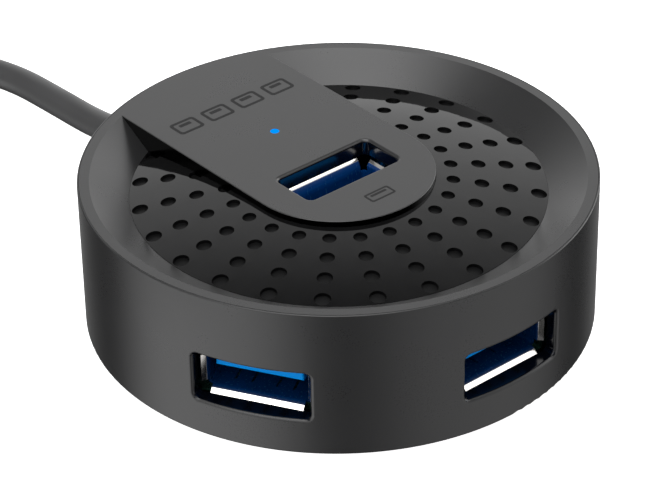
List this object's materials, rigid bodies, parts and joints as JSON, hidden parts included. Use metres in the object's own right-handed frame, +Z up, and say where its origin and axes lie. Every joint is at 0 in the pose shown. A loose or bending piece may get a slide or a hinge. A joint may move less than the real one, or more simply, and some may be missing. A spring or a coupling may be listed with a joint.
{
  "type": "usb hub",
  "caption": "Round desktop data hub with sockets around its side, one socket in a flat tongue over a dimpled dome, and a captive lead with a plug.",
  "frame": {"origin": "on the case's axis, on the surface that the rubber feet stand on", "axes": "+Z up along the case's axis; +Y towards the lead, along the tongue; one side socket faces -Y; +X to the right seen from that socket"},
  "size_m": [0.1128, 0.1283, 0.02],
  "materials": {
    "case_plastic": "fine satin texture, charcoal",
    "cover_plastic": "fine satin texture, charcoal",
    "dome_plastic": "fine satin texture, charcoal",
    "base_plastic": "satin, black",
    "foot_rubber": "matt black rubber",
    "screw_steel": "black zinc",
    "port_steel": "bright nickel plate",
    "port_blue": "semi-gloss blue moulding",
    "contact_gold": "gold plate",
    "board_laminate": "green solder mask",
    "chip_epoxy": "black epoxy",
    "ceramic": "fired ceramic",
    "resistor_black": "glazed black",
    "fuse_green": "matt green",
    "can_aluminium": "bright drawn",
    "led_resin": "clear resin",
    "light_pipe": "clear moulded acrylic, lit blue",
    "core_jacket": "coloured wire jackets",
    "cord_jacket": "matt black jacket",
    "boot_rubber": "matt black, moulded",
    "tie_strap": "woven hook-and-loop strap",
    "plug_plastic": "satin black overmould"
  },
  "bodies": {
    "root": {"side_wall": "case_plastic", "top_cover": "cover_plastic", "dome_plate": "dome_plastic", "base_cover": "base_plastic", "rubber_feet": "foot_rubber", "case_screws": "screw_steel", "main_board": "board_laminate", "hub_controller": "chip_epoxy", "crystal": "can_aluminium", "voltage_regulator": "chip_epoxy", "bulk_capacitors": "can_aluminium", "port_fuses": "fuse_green", "chip_capacitors": "ceramic", "chip_resistors": "resistor_black", "status_led": "led_resin", "light_pipe": "light_pipe", "conductors": "core_jacket", "strain_relief": "boot_rubber", "cord": "cord_jacket", "cord_coil": "cord_jacket", "cord_tail": "cord_jacket", "cord_tie": "tie_strap", "plug_overmold": "plug_plastic", "plug_shell": "port_steel", "plug_insulator": "port_blue", "plug_contacts": "contact_gold", "left_port_shell": "port_steel", "left_port_insulator": "port_blue", "left_port_contacts": "contact_gold", "front_port_shell": "port_steel", "front_port_insulator": "port_blue", "front_port_contacts": "contact_gold", "right_port_shell": "port_steel", "right_port_insulator": "port_blue", "right_port_contacts": "contact_gold", "top_port_shell": "port_steel", "top_port_insulator": "port_blue", "top_port_contacts": "contact_gold"}
  },
  "joints": []
}
